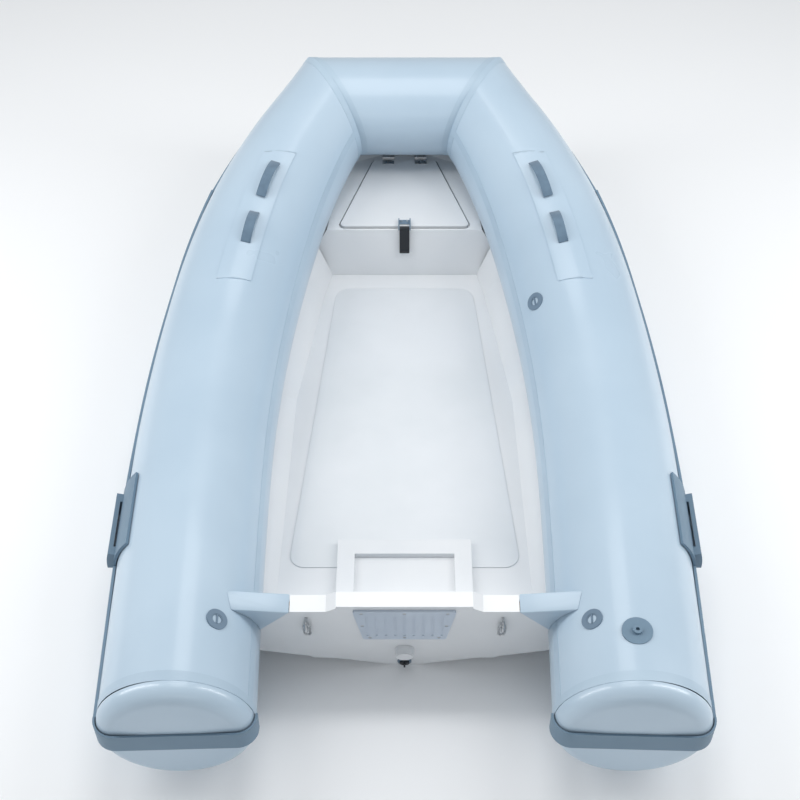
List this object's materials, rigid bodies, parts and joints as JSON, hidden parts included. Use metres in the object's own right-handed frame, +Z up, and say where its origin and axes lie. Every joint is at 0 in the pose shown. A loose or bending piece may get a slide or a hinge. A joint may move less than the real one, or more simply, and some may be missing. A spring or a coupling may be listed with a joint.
{
  "type": "inflatable dinghy",
  "caption": "Small rigid-hull inflatable dinghy with a squared bow, inner moulding with a bow locker, and a transom for an outboard motor.",
  "frame": {"origin": "under the middle of the boat, on the ground that the keel stands on", "axes": "+Y towards the bow, +X to starboard, +Z up"},
  "size_m": [1.5938, 2.3904, 0.657],
  "materials": {
    "tube_fabric": "satin",
    "strake_rubber": "satin",
    "webbing": "matte",
    "gelcoat": "gloss",
    "plywood": "matte",
    "black_rubber": "matte",
    "pad_plastic": "satin",
    "white_plastic": "satin",
    "grey_plastic": "satin",
    "stainless": "satin"
  },
  "bodies": {
    "hull": {"hull_shell": "gelcoat", "deck_liner": "gelcoat", "hull_stringers": "plywood", "transom_board": "plywood", "transom_rail": "gelcoat", "transom_gussets": "tube_fabric", "tube_starboard": "tube_fabric", "tube_port": "tube_fabric", "tube_bow": "tube_fabric", "tube_baffles": "tube_fabric", "stern_cap_starboard": "tube_fabric", "stern_cap_port": "tube_fabric", "rub_strake_starboard": "strake_rubber", "rub_strake_port": "strake_rubber", "rub_strake_bow": "strake_rubber", "rub_strake_stern_ends": "strake_rubber", "side_handle_starboard": "strake_rubber", "side_handle_port": "strake_rubber", "grab_patches": "tube_fabric", "grab_loops_starboard": "webbing", "grab_loops_port": "webbing", "light_socket": "strake_rubber", "locker_seal": "black_rubber", "lid_hinge_fixed_leaves": "stainless", "lid_hinge_pins": "stainless", "latch_keeper": "grey_plastic", "latch_keeper_screw": "stainless", "motor_pad_outer": "pad_plastic", "motor_pad_inner": "pad_plastic", "motor_pad_screws": "stainless", "tow_eyes": "stainless", "tow_eye_plates": "stainless", "tow_eye_nuts": "stainless", "stem_eye": "stainless", "stem_eye_plate": "stainless", "stem_eye_nuts": "stainless", "scupper_body": "white_plastic", "drain_fitting": "grey_plastic", "valve_body_fore": "grey_plastic", "valve_body_starboard": "grey_plastic", "valve_body_port": "grey_plastic"},
    "lid": {"locker_lid": "gelcoat", "lid_hinge_moving_leaves": "stainless", "latch_anchor": "grey_plastic", "latch_pin": "stainless", "latch_anchor_screws": "stainless"},
    "latch": {"latch_strap": "black_rubber"},
    "link_starboard": {"tow_link_starboard": "stainless"},
    "link_port": {"tow_link_port": "stainless"},
    "flap": {"scupper_flap": "white_plastic"},
    "plug": {"drain_plug": "black_rubber"},
    "cap_fore": {"valve_cap_fore": "grey_plastic"},
    "poppet_fore": {"valve_poppet_fore": "grey_plastic"},
    "cap_starboard": {"valve_cap_starboard": "grey_plastic"},
    "poppet_starboard": {"valve_poppet_starboard": "grey_plastic"},
    "cap_port": {"valve_cap_port": "grey_plastic"},
    "poppet_port": {"valve_poppet_port": "grey_plastic"}
  },
  "joints": [
    {"name": "lid_hinge", "type": "hinge", "parent": "hull", "child": "lid", "pos_m": [0, 0.986, 0.3124], "axis": [-1, 0, 0], "range_deg": [0, 30]},
    {"name": "latch_hinge", "type": "hinge", "parent": "lid", "child": "latch", "pos_m": [0, 0.62, 0.3124], "axis": [-1, 0, 0], "range_deg": [0, 110]},
    {"name": "link_starboard_swing", "type": "hinge", "parent": "hull", "child": "link_starboard", "pos_m": [0.25, -0.87566, 0.28426], "axis": [0, -0.9839, -0.1788], "range_deg": [-75, 75]},
    {"name": "link_port_swing", "type": "hinge", "parent": "hull", "child": "link_port", "pos_m": [-0.25, -0.87566, 0.28426], "axis": [0, -0.9839, -0.1788], "range_deg": [-75, 75]},
    {"name": "flap_hinge", "type": "hinge", "parent": "hull", "child": "flap", "pos_m": [0, -0.87304, 0.13118], "axis": [-1, 0, 0], "range_deg": [0, 80]},
    {"name": "plug_pull", "type": "slide", "parent": "hull", "child": "plug", "axis": [0, -0.9839, -0.1788], "range_m": [0, 0.03]},
    {"name": "cap_fore_turn", "type": "hinge", "parent": "hull", "child": "cap_fore", "pos_m": [0.3904, 0.167, 0.41783], "axis": [-0.7157, -0.2308, 0.6592], "range_deg": [0, 90]},
    {"name": "poppet_fore_press", "type": "slide", "parent": "hull", "child": "poppet_fore", "axis": [0.7157, 0.2308, -0.6592], "range_m": [0, 0.005], "stiffness_N_per_m": 800},
    {"name": "cap_starboard_turn", "type": "hinge", "parent": "hull", "child": "cap_starboard", "pos_m": [0.46215, -0.94398, 0.40537], "axis": [-0.5297, 0.0155, 0.848], "range_deg": [0, 90]},
    {"name": "poppet_starboard_press", "type": "slide", "parent": "hull", "child": "poppet_starboard", "axis": [0.5297, -0.0155, -0.848], "range_m": [0, 0.005], "stiffness_N_per_m": 800},
    {"name": "cap_port_turn", "type": "hinge", "parent": "hull", "child": "cap_port", "pos_m": [-0.46215, -0.94398, 0.40537], "axis": [0.5297, 0.0155, 0.848], "range_deg": [0, 90]},
    {"name": "poppet_port_press", "type": "slide", "parent": "hull", "child": "poppet_port", "axis": [-0.5297, -0.0155, -0.848], "range_m": [0, 0.005], "stiffness_N_per_m": 800}
  ]
}
